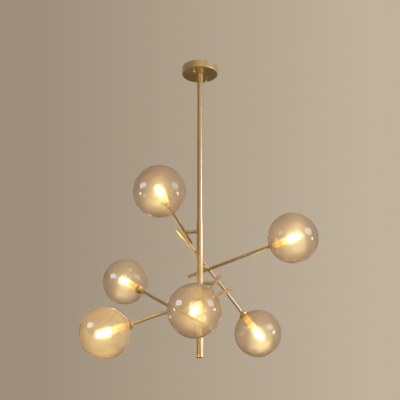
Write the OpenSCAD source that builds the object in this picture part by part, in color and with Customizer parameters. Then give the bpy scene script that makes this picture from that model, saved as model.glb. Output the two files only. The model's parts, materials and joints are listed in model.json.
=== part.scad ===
// Branch chandelier: a hanging stem with six identical swivelling arms set round it on a helix,
// each arm carrying a blown glass globe, a socket cup, a lampholder and a capsule bulb.
//
// Millimetres, Z up. The ceiling is the plane z = 0 and the stem hangs down the Z axis.
// Angles round the stem start at +X and run anticlockwise, seen from above.

/* [Ceiling canopy] */
// Outer diameter of the canopy
canopy_d = 122; // [110:1:180]
// Depth of the canopy below the ceiling
canopy_h = 25; // [25:1:45]
// Sheet thickness of the canopy
canopy_wall = 1.2; // [0.8:0.1:2]
// Radius of the canopy's lower outer edge
canopy_edge_r = 3; // [2.5:0.5:8]

/* [Ceiling bracket] */
// Direction of the bracket, from +X
bracket_angle = 60.5; // [0:0.5:180]
// Gap between a bracket end and the canopy's wall
bracket_end_gap = 5.8; // [4:0.1:12]
// Width of the bracket strap
bracket_w = 20; // [16:1:30]
// Thickness of the bracket strap
bracket_t = 2; // [1.5:0.1:3]
// Step down at the bracket's ends, which clears the stud heads
bracket_step = 3; // [3:0.1:5]
// Distance between the two canopy studs
stud_spacing = 82.8; // [78:0.2:88]
// Thread diameter of the canopy studs
stud_d = 4; // [3:0.5:5]
// Distance between the two ceiling screw holes
ceiling_hole_spacing = 60; // [58:1:62]
// Diameter of the ceiling screw holes
ceiling_hole_d = 5.2; // [4:0.1:6]
// Diameter of the ball nuts under the canopy
cap_nut_d = 9.5; // [8:0.5:14]

/* [Stem] */
// Outer diameter of the down rod
rod_d = 18; // [16:0.5:24]
// Wall of the down rod
rod_wall = 1.5; // [1:0.1:2.5]
// Wall of the tubes that slide over the rod: the collar and the body tube
sleeve_wall = 1.45; // [1:0.05:3]
// Length of the collar under the canopy
collar_len = 30; // [26:1:60]
// Diameter of the threaded nipple that hangs the collar from the canopy
nipple_d = 10; // [9:0.5:12]
// Bore of the nipple
nipple_bore = 7; // [6:0.5:8]
// Length of rod held inside the body tube
rod_overlap = 22; // [14:1:24]
// Drop from the ceiling to the first arm
first_arm_drop = 578; // [300:1:1200]
// Body tube above the first arm
body_above = 30; // [30:1:80]
// Body tube and end cap below the last arm
body_below = 116; // [30:1:200]
// How far the end cap stands out round the body tube
cap_lip = 1.3; // [0.5:0.1:3]
// Thickness of the end cap's lip
cap_lip_t = 3; // [2:0.5:6]
// Diameter of the main lead inside the stem
main_lead_d = 5; // [4:0.5:5.5]

/* [Arm layout] */
// Height step from one arm to the next
arm_pitch = 56.4; // [45:0.2:90]
// Angle step from one arm to the next
arm_step = -60; // [-75:5:-45]
// Direction of the first stub
first_azimuth = 168; // [0:1:360]
// Tilt of arm 1, globe upwards positive
arm_1_tilt = 5; // [-35:0.5:8]
// Tilt of arm 2
arm_2_tilt = -50; // [-51.5:0.5:-49]
// Tilt of arm 3
arm_3_tilt = 7; // [-7:0.5:52]
// Tilt of arm 4
arm_4_tilt = -25.5; // [-39.5:0.5:-25.5]
// Tilt of arm 5
arm_5_tilt = -21.5; // [-34.5:0.5:23.5]
// Tilt of arm 6
arm_6_tilt = 28; // [-17:0.5:58]

/* [Arms and swivels] */
// Distance from the stem's axis to an arm's axis
arm_offset = 48; // [40:0.5:70]
// Distance from the swivel to the globe's centre
arm_reach = 327; // [220:1:450]
// Length of the tail behind the swivel
arm_tail = 95; // [40:1:140]
// Outer diameter of an arm
arm_d = 10; // [9:0.5:12]
// Wall of an arm
arm_wall = 1; // [0.8:0.1:1.5]
// Outer diameter of a stub
stub_d = 11; // [10.5:0.5:14]
// Bore of a stub
stub_bore = 8; // [7.5:0.1:9]
// Thickness of the swivel's flange beyond the arm
flange_t = 2; // [1.5:0.1:4]
// Distance from the stem's axis to the retaining screws
screw_radius = 30; // [24:0.5:34]
// Thread diameter of the retaining screws
screw_d = 4; // [3:0.5:5]
// Diameter of a retaining screw's dog point
dog_d = 2.4; // [2:0.1:2.8]
// Depth of the groove that the dog point runs in
groove_depth = 1.2; // [0.8:0.1:1.3]
// Angle of the rib left in the groove as a stop
rib_angle = 8; // [6:1:30]
// Diameter of the lead in an arm
arm_lead_d = 2.6; // [2:0.1:2.8]

/* [Globes and sockets] */
// Outer diameter of a globe
globe_d = 150; // [100:1:200]
// Thickness of the glass
glass_wall = 2.2; // [1.8:0.1:3]
// Outer diameter of the globe's neck
neck_d = 27; // [23.6:0.2:34]
// Radius of the flare from globe to neck
neck_flare_r = 4; // [2:0.5:8]
// Straight length at the end of the neck
neck_straight = 1.5; // [1:0.1:6]
// Sheet thickness of the socket cup
cup_wall = 1; // [0.8:0.1:1.4]
// Height of the cup's rim band round the neck
cup_band = 3; // [1.5:0.1:3.4]
// Wall of the cup's throat round the arm
throat_wall = 0.6; // [0.5:0.1:2]
// Diameter of the lampholder
holder_d = 17; // [16.4:0.1:17.4]
// Length of the lampholder
holder_len = 44; // [36:1:50]
// Length of the lampholder's threaded skirt
skirt_len = 18; // [14:1:20]
// Length of the waist between the lampholder's skirt and head
waist_len = 4; // [2:0.5:6]
// Length of the ring cemented in the neck
ring_len = 8; // [5:0.5:10]
// Diameter of the bulb
bulb_d = 16; // [14:0.5:16.4]
// Length of the bulb beyond the lampholder
bulb_len = 62; // [45:1:70]
// Length of the bulb's base
bulb_base_len = 20; // [8:1:24]

/* [Fits] */
// Film of braze, solder or thread between parts fixed to each other
fix_gap = 0.05; // [0.03:0.01:0.08]
// Radial clearance of a swivel pin in its stub
pin_gap = 0.05; // [0.03:0.01:0.09]
// End gap between a swivel's flange and its stub
end_gap = 0.3; // [0.3:0.1:1]
// Clearance of a bolt or a lead in its hole
hole_gap = 0.2; // [0.1:0.05:0.4]

/* [Hidden] */
$fn = 96;
eps = 0.01;
arm_count = 6;
tilts = [arm_1_tilt, arm_2_tilt, arm_3_tilt, arm_4_tilt, arm_5_tilt, arm_6_tilt];
// Which way a globe lies round the stem from its stub: 1 anticlockwise, -1 clockwise
sides = [1, -1, -1, -1, -1, -1];

// Ceiling end
bracket_len = canopy_d - 2 * (canopy_wall + bracket_end_gap);
wire_hole_d = 14;
stud_head_d = stud_d + 3.6;
stud_head_t = 2.4;
stud_tip_z = -canopy_h - 5.5;
bend_x = stud_spacing / 2 - stud_head_d / 2 - 0.6 - bracket_step;
cap_nut_neck_t = 1.5;
cap_nut_neck_d = 0.7 * cap_nut_d;
cap_nut_ball_z = -cap_nut_neck_t - 0.45 * cap_nut_d;
washer_t = 1;
nut_t = 5;
nut_across_flats = nipple_d + 4;
nipple_top_z = -canopy_h + 11;
nipple_hold = 11;
block_size = [14, 17, 12];
block_x = 10;
block_rows = [0.3, 0.7];
pocket_d = 4;
pocket_depth = 5;
lead_exit_z = nipple_top_z + 6;
lead_bend_r = 6;

// Stem
sleeve_bore = rod_d + 2 * fix_gap;
sleeve_d = sleeve_bore + 2 * sleeve_wall;
shoulder_z = -canopy_h - nipple_hold - 1;
collar_end_z = -canopy_h - collar_len;
body_top_z = -first_arm_drop + body_above;
last_arm_z = -first_arm_drop - (arm_count - 1) * arm_pitch;
body_end_z = last_arm_z - body_below;
plug_len = 10;
collar_edge = 0.6;
cap_edge = 1.2;
set_screw_d = 4;
key_d = 2.3;
collar_screw_z = (shoulder_z + collar_end_z) / 2;
body_screw_z = body_top_z - rod_overlap / 2;
set_screw_len = sleeve_wall + fix_gap + rod_wall - 0.2;

// Swivels
pin_d = stub_bore - 2 * pin_gap;
flange_reach = arm_d / 2 + flange_t;
stub_end = arm_offset - flange_reach - end_gap;
pin_start = sleeve_d / 2 + 1;
saddle_start = arm_d / 4;
groove_r = pin_d / 2 - groove_depth;
groove_w = dog_d + 2 * hole_gap;
lead_bore = arm_lead_d + 3 * hole_gap;
tail_edge = 2;
tail_wall = 3;
arm_lead_bend_r = arm_d / 2 - arm_wall - hole_gap;
arm_lead_end = main_lead_d / 2 + 0.7;

// Socket, measured from the globe's centre with the arm on the -Z side
flare_x = neck_d / 2 + neck_flare_r;
flare_z = -sqrt(pow(globe_d / 2 + neck_flare_r, 2) - pow(flare_x, 2));
flare_touch_x = flare_x * (globe_d / 2) / (globe_d / 2 + neck_flare_r);
neck_end_z = flare_z - neck_straight;
neck_bore_r = neck_d / 2 - glass_wall;
rim_r = neck_d / 2 + 2 * hole_gap + cup_wall;
throat_r = arm_d / 2 + throat_wall;
trumpet_r = rim_r - throat_r;
trumpet_z = neck_end_z - hole_gap - cup_wall - trumpet_r;
holder_reach = rim_r - holder_d / 2 - hole_gap;
holder_base_z = trumpet_z + sqrt(pow(trumpet_r + cup_wall, 2) - pow(holder_reach, 2)) + hole_gap;
holder_face_z = holder_base_z + holder_len;
tube_seat = 5;
waist_d = holder_d - 3;
head_edge = 1.5;
slot_depth = 14;
tongue = [11.6, 4.8, 10.5];
contact_d = 1.2;
contact_spacing = 7;
contact_len = 3;

ARM_PARTS = ["tube", "pivot", "cup", "lampholder", "shade_ring", "globe", "bulb"];
STEM_PARTS = [
    "ceiling_bracket", "bracket_studs", "canopy", "cap_nuts", "nipple", "nipple_nut", "lock_washer",
    "collar", "set_screws", "downrod", "body_tube", "bottom_cap", "stub_tubes", "stop_screws",
    "terminal_block", "main_lead"
];

BRASS = [0.72, 0.54, 0.28];
STEEL = [0.62, 0.63, 0.65];
GLASS = [0.86, 0.70, 0.46, 0.4];
CERAMIC = [0.93, 0.91, 0.86];
GLOW = [1.0, 0.93, 0.75];
PLASTIC = [0.90, 0.90, 0.88];
SLEEVING = [0.85, 0.82, 0.74];

function arm_node(i, part) = str("arm_", i + 1, "_", part);
function azimuth(i) = first_azimuth + i * arm_step;
function arm_z(i) = -first_arm_drop - i * arm_pitch;
function arm_turn(i) = sides[i] > 0 ? tilts[i] : 180 - tilts[i];

// ---- Places ----

// The frame of stub i: origin on the stem's axis, +X out along the stub
module on_stem(i) {
    rotate([0, 0, azimuth(i)]) translate([0, 0, arm_z(i)]) children();
}

// The frame of arm i: origin where the swivel crosses the arm, +Z to the globe, -X to the stem
module on_arm(i) {
    on_stem(i) translate([arm_offset, 0, 0]) rotate([arm_turn(i), 0, 0]) rotate([-90, 0, 0]) children();
}

// The frame of globe i: as its arm's, with the origin at the globe's centre
module on_globe(i) {
    on_arm(i) translate([0, 0, arm_reach]) children();
}

// Both studs of the bracket
module at_studs() {
    for (side = [-1, 1])
        rotate([0, 0, bracket_angle]) translate([side * stud_spacing / 2, 0, 0]) children();
}

// The two set screws: one in the collar and one at the top of the body tube, both at the back
module at_set_screws() {
    for (z = [collar_screw_z, body_screw_z])
        translate([0, 0, z]) rotate([-90, 0, 0]) children();
}

// ---- Shared shapes ----

// A tube from z = low to z = high
module tube(outer_d, bore_d, low, high) {
    translate([0, 0, low])
        difference() {
            cylinder(d = outer_d, h = high - low);
            translate([0, 0, -eps]) cylinder(d = bore_d, h = high - low + 2 * eps);
        }
}

// Half section of a solid from z = 0 down to z = -h, its lower outer corner rounded
module rounded_half(r, h, edge) {
    translate([0, edge - h]) square([r, h - edge]);
    translate([0, -h]) square([r - edge, h]);
    translate([r - edge, edge - h]) circle(r = edge);
}

// ---- Ceiling end ----

// Side view of the strap: flat in the middle, stepped down at both ends
module bracket_side() {
    mitre = bracket_t * tan(22.5);
    half = [
        [bend_x, 0],
        [bend_x + bracket_step, -bracket_step],
        [bracket_len / 2, -bracket_step],
        [bracket_len / 2, -bracket_step - bracket_t],
        [bend_x + bracket_step - mitre, -bracket_step - bracket_t],
        [bend_x - mitre, -bracket_t]
    ];
    polygon(concat(half, [for (i = [5 : -1 : 0]) [-half[i][0], half[i][1]]]));
}

// Plan of the strap: round ends
module bracket_plan() {
    straight = bracket_len - bracket_w;
    square([straight, bracket_w], center = true);
    for (side = [-1, 1]) translate([side * straight / 2, 0]) circle(d = bracket_w);
}

module ceiling_bracket() {
    depth = bracket_step + bracket_t + 2;
    color(STEEL)
        difference() {
            rotate([0, 0, bracket_angle])
                difference() {
                    intersection() {
                        rotate([90, 0, 0])
                            translate([0, 0, -bracket_w]) linear_extrude(2 * bracket_w) bracket_side();
                        translate([0, 0, -depth]) linear_extrude(2 * depth) bracket_plan();
                    }
                    translate([0, 0, -depth]) cylinder(d = wire_hole_d, h = 2 * depth);
                    for (side = [-1, 1])
                        translate([side * ceiling_hole_spacing / 2, 0, -depth])
                            cylinder(d = ceiling_hole_d, h = 2 * depth);
                }
            at_studs() translate([0, 0, -depth]) cylinder(d = stud_d + 2 * fix_gap, h = 2 * depth);
        }
}

module bracket_studs() {
    color(STEEL)
        at_studs() {
            translate([0, 0, stud_tip_z]) cylinder(d = stud_d, h = -stud_tip_z - bracket_step);
            translate([0, 0, -bracket_step]) cylinder(d = stud_head_d, h = stud_head_t);
        }
}

module canopy() {
    color(BRASS)
        difference() {
            rotate_extrude()
                difference() {
                    rounded_half(canopy_d / 2, canopy_h, canopy_edge_r);
                    translate([0, eps])
                        rounded_half(
                            canopy_d / 2 - canopy_wall,
                            canopy_h - canopy_wall + eps,
                            canopy_edge_r - canopy_wall
                        );
                }
            translate([0, 0, -2 * canopy_h]) cylinder(d = nipple_d + 2 * hole_gap, h = 2 * canopy_h);
            at_studs() translate([0, 0, -2 * canopy_h]) cylinder(d = stud_d + 2 * hole_gap, h = 2 * canopy_h);
        }
}

// Ball nuts on a short neck, which clamp the canopy up to the studs
module cap_nuts() {
    color(BRASS)
        at_studs() translate([0, 0, -canopy_h]) difference() {
            union() {
                translate([0, 0, -cap_nut_d / 2]) cylinder(d = cap_nut_neck_d, h = cap_nut_d / 2);
                translate([0, 0, cap_nut_ball_z]) sphere(d = cap_nut_d);
            }
            translate([0, 0, stud_tip_z + canopy_h - 0.5])
                cylinder(d = stud_d + 2 * fix_gap, h = 2 * cap_nut_d);
            cylinder(d = 2 * cap_nut_d, h = cap_nut_d);
        }
}

module nipple() {
    color(STEEL) tube(nipple_d, nipple_bore, -canopy_h - nipple_hold, nipple_top_z);
}

module lock_washer() {
    low = canopy_wall - canopy_h;
    color(STEEL) tube(nut_across_flats + 2, nipple_d + 2 * hole_gap, low, low + washer_t);
}

module nipple_nut() {
    low = canopy_wall - canopy_h + washer_t;
    color(STEEL)
        translate([0, 0, low])
            difference() {
                cylinder(d = nut_across_flats / cos(30), h = nut_t, $fn = 6);
                translate([0, 0, -eps]) cylinder(d = nipple_d + 2 * fix_gap, h = nut_t + 2 * eps);
            }
}

// Screwed under the bracket beside the nipple, with its two screw pockets facing down
module terminal_block() {
    color(PLASTIC)
        rotate([0, 0, bracket_angle])
            translate([block_x, -block_size[1] / 2, -bracket_t - block_size[2]])
                difference() {
                    cube(block_size);
                    for (row = block_rows)
                        translate([block_size[0] / 2, block_size[1] * row, -eps])
                            cylinder(d = pocket_d, h = pocket_depth);
                }
}

// From the terminal block, round one bend into the nipple and down the stem to the last arm
module main_lead() {
    color(SLEEVING)
        rotate([0, 0, bracket_angle]) {
            translate([0, 0, last_arm_z])
                cylinder(d = main_lead_d, h = lead_exit_z - lead_bend_r - last_arm_z);
            translate([lead_bend_r, 0, lead_exit_z - lead_bend_r])
                rotate([90, 0, 0])
                    rotate([0, 0, 90])
                        rotate_extrude(angle = 90) translate([lead_bend_r, 0]) circle(d = main_lead_d);
            translate([lead_bend_r, 0, lead_exit_z])
                rotate([0, 90, 0]) cylinder(d = main_lead_d, h = block_x - lead_bend_r);
        }
}

// ---- Stem ----

module collar() {
    color(BRASS)
        difference() {
            translate([0, 0, -canopy_h]) rotate_extrude() rounded_half(sleeve_d / 2, collar_len, collar_edge);
            translate([0, 0, shoulder_z - 1]) cylinder(d = nipple_d + 2 * fix_gap, h = collar_len);
            translate([0, 0, collar_end_z - eps])
                cylinder(d = sleeve_bore, h = shoulder_z - collar_end_z + eps);
            at_set_screws() cylinder(d = set_screw_d + 2 * fix_gap, h = sleeve_d);
        }
}

module downrod() {
    color(BRASS)
        difference() {
            tube(rod_d, rod_d - 2 * rod_wall, body_top_z - rod_overlap, shoulder_z);
            at_set_screws() cylinder(d = set_screw_d + 2 * fix_gap, h = sleeve_d);
        }
}

module set_screws() {
    color(STEEL)
        at_set_screws() translate([0, 0, rod_d / 2 - rod_wall])
            difference() {
                cylinder(d = set_screw_d, h = set_screw_len);
                translate([0, 0, set_screw_len / 2]) cylinder(d = key_d, h = set_screw_len, $fn = 6);
            }
}

module body_tube() {
    color(BRASS)
        difference() {
            tube(sleeve_d, sleeve_bore, body_end_z + cap_lip_t, body_top_z);
            for (i = [0 : arm_count - 1])
                on_stem(i) rotate([0, 90, 0]) cylinder(d = lead_bore + 1, h = sleeve_d);
            at_set_screws() cylinder(d = set_screw_d + 2 * fix_gap, h = sleeve_d);
        }
}

// A plug pressed into the body tube, with a rounded lip that shows below it
module bottom_cap() {
    color(BRASS)
        rotate_extrude() {
            translate([0, body_end_z + cap_lip_t])
                rounded_half(sleeve_d / 2 + cap_lip, cap_lip_t, cap_edge);
            translate([0, body_end_z + cap_lip_t / 2])
                square([sleeve_bore / 2 - fix_gap, cap_lip_t / 2 + plug_len]);
        }
}

// ---- Swivels: coped stubs, retaining screws and grooved pins ----

// Six short tubes, each coped to the round body tube and bored for a swivel pin
module stub_tubes() {
    color(BRASS)
        for (i = [0 : arm_count - 1])
            on_stem(i) difference() {
                rotate([0, 90, 0]) cylinder(d = stub_d, h = stub_end);
                rotate([0, 90, 0]) cylinder(d = stub_bore, h = 2 * stub_end);
                cylinder(d = sleeve_d + 2 * fix_gap, h = 4 * stub_d, center = true);
                translate([screw_radius, 0, -stub_d]) cylinder(d = screw_d + 2 * fix_gap, h = stub_d);
            }
}

// Grub screws from below, whose dog points run in the grooves of the swivel pins
module stop_screws() {
    color(STEEL)
        for (i = [0 : arm_count - 1])
            on_stem(i) translate([screw_radius, 0, 0]) {
                difference() {
                    translate([0, 0, hole_gap - stub_d / 2])
                        cylinder(d = screw_d, h = (stub_d - stub_bore) / 2 - 2 * hole_gap);
                    translate([0, 0, -stub_d]) cylinder(d = key_d, h = stub_d / 2 + hole_gap + 0.5, $fn = 6);
                }
                translate([0, 0, -stub_bore / 2 - hole_gap])
                    cylinder(d = dog_d, h = stub_bore / 2 - groove_r);
            }
}

// Groove round the pin, broken by one rib: a stop that keeps an arm from turning past upright
module pin_groove() {
    translate([0, 0, arm_offset - screw_radius - groove_w / 2])
        rotate([0, 0, 180 + rib_angle / 2])
            rotate_extrude(angle = 360 - rib_angle)
                translate([groove_r, 0]) square([pin_d, groove_w]);
}

// The swivel: a hollow pin that turns in its stub, with a flange saddled to the arm
module arm_pivot(i) {
    color(BRASS)
        on_arm(i) difference() {
            rotate([0, -90, 0]) difference() {
                union() {
                    translate([0, 0, saddle_start]) cylinder(d = stub_d, h = flange_reach - saddle_start);
                    translate([0, 0, saddle_start])
                        cylinder(d = pin_d, h = arm_offset - pin_start - saddle_start);
                }
                pin_groove();
                cylinder(d = lead_bore, h = arm_offset);
            }
            cylinder(d = arm_d + 2 * fix_gap, h = 4 * arm_d, center = true);
        }
}

// ---- Arms ----

// A straight tube, closed and rounded at its tail, with a side hole for the lead at the swivel
module arm_tube(i) {
    tube_end = arm_reach + holder_base_z + tube_seat;
    color(BRASS)
        on_arm(i) difference() {
            rotate_extrude() difference() {
                translate([0, tube_end]) rounded_half(arm_d / 2, tube_end + arm_tail, tail_edge);
                translate([0, tail_wall - arm_tail]) square([arm_d / 2 - arm_wall, tube_end + arm_tail]);
            }
            rotate([0, -90, 0]) cylinder(d = lead_bore, h = arm_d);
        }
}

// Spun trumpet that grows out of the arm, with a band that goes round the globe's neck
module arm_cup(i) {
    color(BRASS)
        on_globe(i) rotate_extrude() difference() {
            union() {
                translate([throat_r - cup_wall, trumpet_z])
                    difference() {
                        square([trumpet_r + cup_wall, trumpet_r + cup_wall]);
                        translate([trumpet_r + cup_wall, 0]) circle(r = trumpet_r);
                    }
                translate([rim_r - cup_wall, trumpet_z + trumpet_r]) square([cup_wall, cup_wall + cup_band]);
            }
            translate([0, trumpet_z - eps]) square([arm_d / 2 + fix_gap, 2 * trumpet_r]);
            intersection() {
                translate([0, trumpet_z - eps]) square([rim_r - cup_wall, 2 * trumpet_r]);
                difference() {
                    translate([0, trumpet_z]) square([rim_r, 2 * trumpet_r]);
                    translate([rim_r, trumpet_z]) circle(r = trumpet_r + cup_wall);
                }
            }
        }
}

// The lampholder's outside: a threaded skirt for the ring, a waist, and a head with a chamfered face
module holder_body() {
    waist_z = holder_base_z + skirt_len;
    head_z = waist_z + waist_len;
    translate([0, 0, holder_base_z]) cylinder(d = holder_d, h = skirt_len);
    translate([0, 0, waist_z - eps]) cylinder(d = waist_d, h = waist_len + 2 * eps);
    translate([0, 0, head_z]) cylinder(d = holder_d, h = holder_face_z - head_edge - head_z);
    translate([0, 0, holder_face_z - head_edge])
        cylinder(d1 = holder_d, d2 = holder_d - 2 * head_edge, h = head_edge);
}

// Ceramic capsule lampholder, screwed on the arm's end, with the lead that comes fixed in it
module arm_lampholder(i) {
    lead_top_z = arm_reach + holder_face_z - slot_depth;
    color(CERAMIC)
        on_globe(i) difference() {
            holder_body();
            translate([0, 0, holder_base_z - eps]) cylinder(d = arm_d + 2 * fix_gap, h = tube_seat + eps);
            translate([0, 0, holder_base_z]) cylinder(d = arm_lead_d + 2 * fix_gap, h = holder_len);
            translate([-tongue[0] / 2 - hole_gap, -tongue[1] / 2 - hole_gap, holder_face_z - slot_depth])
                cube([tongue[0] + 2 * hole_gap, tongue[1] + 2 * hole_gap, slot_depth + eps]);
        }
    color(SLEEVING)
        on_arm(i) {
            translate([0, 0, arm_lead_bend_r]) cylinder(d = arm_lead_d, h = lead_top_z - arm_lead_bend_r);
            translate([-arm_lead_bend_r, 0, arm_lead_bend_r])
                rotate([90, 0, 0])
                    rotate([0, 0, -90])
                        rotate_extrude(angle = 90) translate([arm_lead_bend_r, 0]) circle(d = arm_lead_d);
            translate([-arm_lead_bend_r, 0, 0])
                rotate([0, -90, 0]) cylinder(d = arm_lead_d, h = arm_offset - arm_lead_end - arm_lead_bend_r);
        }
}

// Threaded ring cemented in the globe's neck, which screws on the lampholder
module arm_shade_ring(i) {
    color(BRASS)
        on_globe(i)
            tube(2 * (neck_bore_r - fix_gap), holder_d + 2 * fix_gap, neck_end_z, neck_end_z + ring_len);
}

// Section of the glass: a sphere that flares into a short neck
module globe_section() {
    outer_r = globe_d / 2;
    difference() {
        union() {
            circle(r = outer_r);
            translate([0, neck_end_z]) square([neck_d / 2, -neck_end_z]);
            difference() {
                translate([0, flare_z]) square([flare_touch_x, -flare_z]);
                translate([flare_x, flare_z]) circle(r = neck_flare_r);
            }
        }
        circle(r = outer_r - glass_wall);
        translate([0, neck_end_z - eps]) square([neck_bore_r, -neck_end_z]);
        translate([-globe_d, -globe_d]) square([globe_d, 2 * globe_d]);
    }
}

module arm_globe(i) {
    color(GLASS) on_globe(i) rotate_extrude($fn = 144) globe_section();
}

// Capsule bulb with a round end, its flat tongue and two contacts in the lampholder
module arm_bulb(i) {
    base_d = bulb_d - 1;
    color(GLOW)
        on_globe(i) translate([0, 0, holder_face_z]) {
            cylinder(d = base_d, h = bulb_base_len);
            translate([0, 0, bulb_base_len]) cylinder(d = bulb_d, h = bulb_len - bulb_base_len - bulb_d / 2);
            translate([0, 0, bulb_len - bulb_d / 2]) sphere(d = bulb_d);
            translate([-tongue[0] / 2, -tongue[1] / 2, -tongue[2]]) cube(tongue);
            for (side = [-1, 1])
                translate([side * contact_spacing / 2, 0, -tongue[2] - contact_len])
                    cylinder(d = contact_d, h = contact_len + 1);
        }
}

// ---- Assembly ----

ceiling_bracket();
bracket_studs();
canopy();
cap_nuts();
nipple();
nipple_nut();
lock_washer();
collar();
set_screws();
downrod();
body_tube();
bottom_cap();
stub_tubes();
stop_screws();
terminal_block();
main_lead();
for (i = [0 : arm_count - 1]) {
    arm_tube(i);
    arm_pivot(i);
    arm_cup(i);
    arm_lampholder(i);
    arm_shade_ring(i);
    arm_globe(i);
    arm_bulb(i);
}
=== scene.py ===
"""Branch chandelier: a brushed brass stem, six swivelling arms, amber glass globes and lit capsules.

Everything is in metres in the shared frame of the CAD model: Z is up, the ceiling is the plane z = 0,
the stem hangs down the Z axis and the photograph looks along +Y from below.
"""

import json
import logging
import math
from dataclasses import dataclass, field, replace
from enum import Enum

import bmesh
import bpy
from mathutils import Matrix, Vector, noise


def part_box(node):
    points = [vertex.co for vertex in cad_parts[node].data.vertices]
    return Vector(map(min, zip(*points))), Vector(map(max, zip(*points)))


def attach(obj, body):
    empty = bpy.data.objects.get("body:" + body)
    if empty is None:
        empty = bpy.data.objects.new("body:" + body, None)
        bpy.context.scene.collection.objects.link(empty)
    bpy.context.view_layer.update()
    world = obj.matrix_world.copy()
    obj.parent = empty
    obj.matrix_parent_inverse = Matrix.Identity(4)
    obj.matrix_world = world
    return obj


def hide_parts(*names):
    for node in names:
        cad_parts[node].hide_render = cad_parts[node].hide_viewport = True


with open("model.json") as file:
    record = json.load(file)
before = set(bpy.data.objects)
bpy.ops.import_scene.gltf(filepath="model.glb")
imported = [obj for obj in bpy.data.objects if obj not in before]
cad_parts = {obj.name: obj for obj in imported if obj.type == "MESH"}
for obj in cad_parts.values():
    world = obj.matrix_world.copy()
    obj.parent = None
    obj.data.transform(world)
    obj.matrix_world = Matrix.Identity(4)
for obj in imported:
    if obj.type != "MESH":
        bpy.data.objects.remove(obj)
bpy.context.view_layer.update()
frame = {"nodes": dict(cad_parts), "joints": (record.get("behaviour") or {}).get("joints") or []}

LOG = logging.getLogger("branch_chandelier")
ARM_COUNT = 6
MM = 0.001

# edges of a smooth mesh that turn more than this stay sharp
CREASE = math.radians(35)
# a section point closer to the axis than this is on it
ON_AXIS = 1e-7
# height of the face that the bulb stands on, from the globe's centre, and the radius of its base
HOLDER_FACE = -36.62 * MM
BULB_BASE_RADIUS = 7.5 * MM

# a section point is a distance from the axis and a height
Point = tuple[float, float]
Span = tuple[float, float]
Place = tuple[float, float, float]
LampColour = tuple[float, float, float]
Colour = tuple[float, float, float, float]


# ---------------------------------------------------------------- node sketching


class Sketch:
    """Builds one material's or world's node tree, a node at a time."""

    def __init__(self, tree: bpy.types.NodeTree) -> None:
        """Starts on an emptied tree.

        Args:
            tree: The node tree to fill.
        """
        self.tree = tree
        tree.nodes.clear()

    def add(self, kind: str, inputs: dict | None = None, **settings: object) -> bpy.types.Node:
        """Adds a node, sets its properties and fills or links its inputs.

        Args:
            kind: The node's type name.
            inputs: Input name or index to a value, or to a socket that is linked to it.
            settings: Properties of the node.

        Returns:
            The new node.
        """
        node = self.tree.nodes.new(kind)
        for name, value in settings.items():
            setattr(node, name, value)
        for name, value in (inputs or {}).items():
            if isinstance(value, bpy.types.NodeSocket):
                self.tree.links.new(value, node.inputs[name])
            else:
                node.inputs[name].default_value = value
        return node

    def math(self, operation: str, *values: object) -> bpy.types.NodeSocket:
        """Adds a Math node on plain numbers or sockets and returns its value."""
        return self.add("ShaderNodeMath", dict(enumerate(values)), operation=operation).outputs[0]

    def vector(self, operation: str, first: object, second: object) -> bpy.types.NodeSocket:
        """Adds a Vector Math node on two vectors and returns its vector."""
        node = self.add("ShaderNodeVectorMath", {0: first, 1: second}, operation=operation)
        return node.outputs["Vector"]

    def scaled(self, vector: object, factor: object) -> bpy.types.NodeSocket:
        """Returns a vector times a number."""
        node = self.add("ShaderNodeVectorMath", {0: vector, "Scale": factor}, operation="SCALE")
        return node.outputs["Vector"]

    def dot(self, first: object, second: object) -> bpy.types.NodeSocket:
        """Returns the dot product of two vectors."""
        node = self.add("ShaderNodeVectorMath", {0: first, 1: second}, operation="DOT_PRODUCT")
        return node.outputs["Value"]

    def noise(self, vector: object, scale: float, detail: float = 3.0) -> bpy.types.NodeSocket:
        """Returns the value of a noise texture."""
        inputs = {"Vector": vector, "Scale": scale, "Detail": detail}
        return self.add("ShaderNodeTexNoise", inputs).outputs[0]

    def blend(self, factor: object, first: object, second: object) -> bpy.types.NodeSocket:
        """Mixes two colours.

        Args:
            factor: How far to go from the first to the second, 0 to 1.
            first: The colour at 0.
            second: The colour at 1.

        Returns:
            The mixed colour.
        """
        node = self.add("ShaderNodeMix", data_type="RGBA")
        # inputs 6 and 7 and output 2 are the node's colour ones
        self.fill(node.inputs[0], factor)
        self.fill(node.inputs[6], first)
        self.fill(node.inputs[7], second)
        return node.outputs[2]

    def span(self, value: object, low: float, high: float) -> bpy.types.NodeSocket:
        """Returns a 0 to 1 value spread over low to high."""
        return self.add("ShaderNodeMapRange", {"Value": value, "To Min": low, "To Max": high}).outputs[0]

    def ramp(self, value: object, start: float, end: float, smooth: bool = False) -> bpy.types.NodeSocket:
        """Turns a value into a share.

        Args:
            value: The value.
            start: Where the share is 0.
            end: Where the share is 1. It may be less than start.
            smooth: Whether the share leaves both ends gently.

        Returns:
            The share, held between 0 and 1.
        """
        inputs = {"Value": value, "From Min": start, "From Max": end}
        kind = "SMOOTHSTEP" if smooth else "LINEAR"
        return self.add("ShaderNodeMapRange", inputs, interpolation_type=kind).outputs[0]

    def bump(self, height: object, strength: float, distance: float) -> bpy.types.NodeSocket:
        """Returns a normal bumped by a height."""
        inputs = {"Height": height, "Strength": strength, "Distance": distance}
        return self.add("ShaderNodeBump", inputs).outputs[0]

    def place(self) -> bpy.types.NodeSocket:
        """Returns the point's place on its own object, which moves with it."""
        return self.add("ShaderNodeTexCoord").outputs["Object"]

    def fill(self, socket: bpy.types.NodeSocket, value: object) -> None:
        """Links a socket to a socket, or sets its value.

        Args:
            socket: The input socket.
            value: The output socket to link, or the plain value.
        """
        if isinstance(value, bpy.types.NodeSocket):
            self.tree.links.new(value, socket)
        else:
            socket.default_value = value

    def surface(self, shader: bpy.types.NodeSocket, output: str = "ShaderNodeOutputMaterial") -> None:
        """Ends the tree in an output that shows the shader."""
        self.add(output, {"Surface": shader})


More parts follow.
